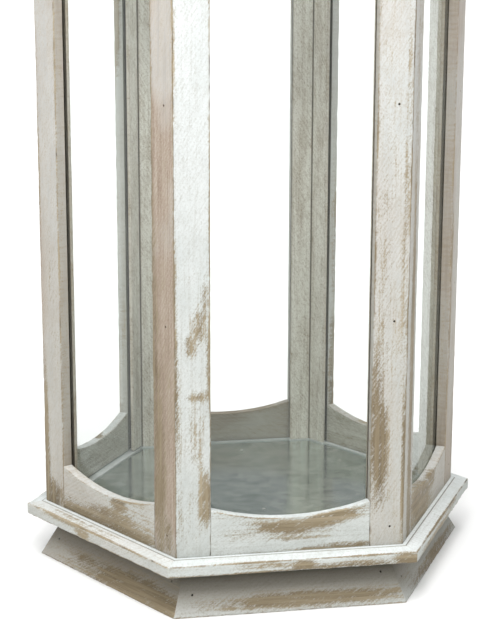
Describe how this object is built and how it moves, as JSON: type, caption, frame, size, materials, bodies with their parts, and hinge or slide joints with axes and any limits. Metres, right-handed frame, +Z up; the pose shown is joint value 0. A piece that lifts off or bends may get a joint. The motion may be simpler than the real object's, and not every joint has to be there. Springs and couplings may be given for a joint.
{
  "type": "candle lantern",
  "caption": "Tall hexagonal whitewashed wooden candle lantern with glass sides, a hinged door, a flared skirt, a sheet-metal pyramid roof with a vent cap, and a ring handle.",
  "frame": {"origin": "centre of the foot of the skirt, on the surface that the lantern stands on", "axes": "+Z up; the front side looks along -Y; hexagon corners point along -X and +X; the door is the back-left side"},
  "size_m": [0.36, 0.3118, 0.6831],
  "materials": {
    "whitewashed_wood": "thin white wash over rough-sawn pale wood, worn to bare brown at edges",
    "window_glass": "clear",
    "galvanised_sheet": "dull galvanised with a soft spangle",
    "dark_iron": "satin dark",
    "zinc_plated_steel": "dull zinc",
    "brad_steel": "dark, slightly rusted"
  },
  "bodies": {
    "lantern": {"back_pane": "window_glass", "back_rail_bottom": "whitewashed_wood", "back_rail_top": "whitewashed_wood", "back_right_pane": "window_glass", "back_right_rail_bottom": "whitewashed_wood", "back_right_rail_top": "whitewashed_wood", "back_right_stile_left": "whitewashed_wood", "back_right_stile_right": "whitewashed_wood", "back_stile_left": "whitewashed_wood", "back_stile_right": "whitewashed_wood", "base_board": "whitewashed_wood", "base_rim": "whitewashed_wood", "brads": "brad_steel", "catch_magnet": "zinc_plated_steel", "door_stop": "whitewashed_wood", "floor_sheet": "galvanised_sheet", "front_left_pane": "window_glass", "front_left_rail_bottom": "whitewashed_wood", "front_left_rail_top": "whitewashed_wood", "front_left_stile_left": "whitewashed_wood", "front_left_stile_right": "whitewashed_wood", "front_pane": "window_glass", "front_rail_bottom": "whitewashed_wood", "front_rail_top": "whitewashed_wood", "front_right_pane": "window_glass", "front_right_rail_bottom": "whitewashed_wood", "front_right_rail_top": "whitewashed_wood", "front_right_stile_left": "whitewashed_wood", "front_right_stile_right": "whitewashed_wood", "front_stile_left": "whitewashed_wood", "front_stile_right": "whitewashed_wood", "handle_eye": "dark_iron", "handle_nut": "zinc_plated_steel", "hinge_frame_leaves": "dark_iron", "hinge_frame_screws": "zinc_plated_steel", "hinge_pins": "dark_iron", "roof_cap": "galvanised_sheet", "roof_screws": "zinc_plated_steel", "roof_sheet": "galvanised_sheet", "skirt_board_back": "whitewashed_wood", "skirt_board_back_left": "whitewashed_wood", "skirt_board_back_right": "whitewashed_wood", "skirt_board_front": "whitewashed_wood", "skirt_board_front_left": "whitewashed_wood", "skirt_board_front_right": "whitewashed_wood", "top_board": "whitewashed_wood", "top_rim": "whitewashed_wood", "vent_collar": "galvanised_sheet"},
    "door": {"catch_plate": "zinc_plated_steel", "door_pane": "window_glass", "door_pull_plate": "dark_iron", "door_rail_bottom": "whitewashed_wood", "door_rail_top": "whitewashed_wood", "door_stile_left": "whitewashed_wood", "door_stile_right": "whitewashed_wood", "hinge_door_leaves": "dark_iron", "hinge_door_screws": "zinc_plated_steel"},
    "pull_ring": {"door_pull_ring": "dark_iron"},
    "carry_ring": {"ring_handle": "dark_iron"}
  },
  "joints": [
    {"name": "door_swing", "type": "hinge", "parent": "lantern", "child": "door", "pos_m": [-0.0841, 0.14566, 0.2835], "axis": [0, 0, -1], "range_deg": [0, 180]},
    {"name": "pull_ring_lift", "type": "hinge", "parent": "door", "child": "pull_ring", "pos_m": [-0.16002, 0.01502, 0.2835], "axis": [0.5, 0.866, 0], "range_deg": [0, 150]},
    {"name": "carry_ring_swing", "type": "hinge", "parent": "lantern", "child": "carry_ring", "pos_m": [0, 0, 0.67659], "axis": [1, 0, 0], "range_deg": [0, 236]}
  ]
}
